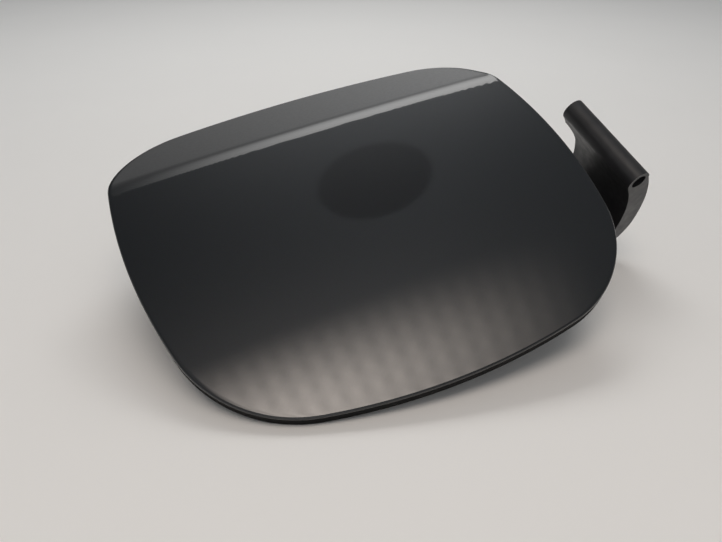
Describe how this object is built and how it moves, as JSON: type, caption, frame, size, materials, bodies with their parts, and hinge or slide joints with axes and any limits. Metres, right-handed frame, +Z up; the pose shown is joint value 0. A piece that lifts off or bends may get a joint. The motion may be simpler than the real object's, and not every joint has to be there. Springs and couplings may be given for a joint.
{
  "type": "fuel filler door with hinge arm",
  "caption": "Car fuel filler door: a crowned, creased, painted flap on a ribbed black carrier with a gooseneck hinge arm and an open hinge bore, lying as it rests when loose.",
  "frame": {"origin": "on the floor, under the middle of the box around the door as it rests face up on its rim, its arm and its tongue", "axes": "+X level, from the free edge towards the hinge; +Y level, towards the shoulder; +Z up, out of the painted face"},
  "size_m": [0.2062, 0.154, 0.0783],
  "materials": {
    "paint": "dark grey metallic paint under clear coat",
    "black_plastic": "satin moulded plastic",
    "rubber": "matt moulded rubber"
  },
  "bodies": {
    "root": {"outer_panel": "paint", "carrier_arm": "black_plastic", "stop_buffers": "rubber"}
  },
  "joints": []
}
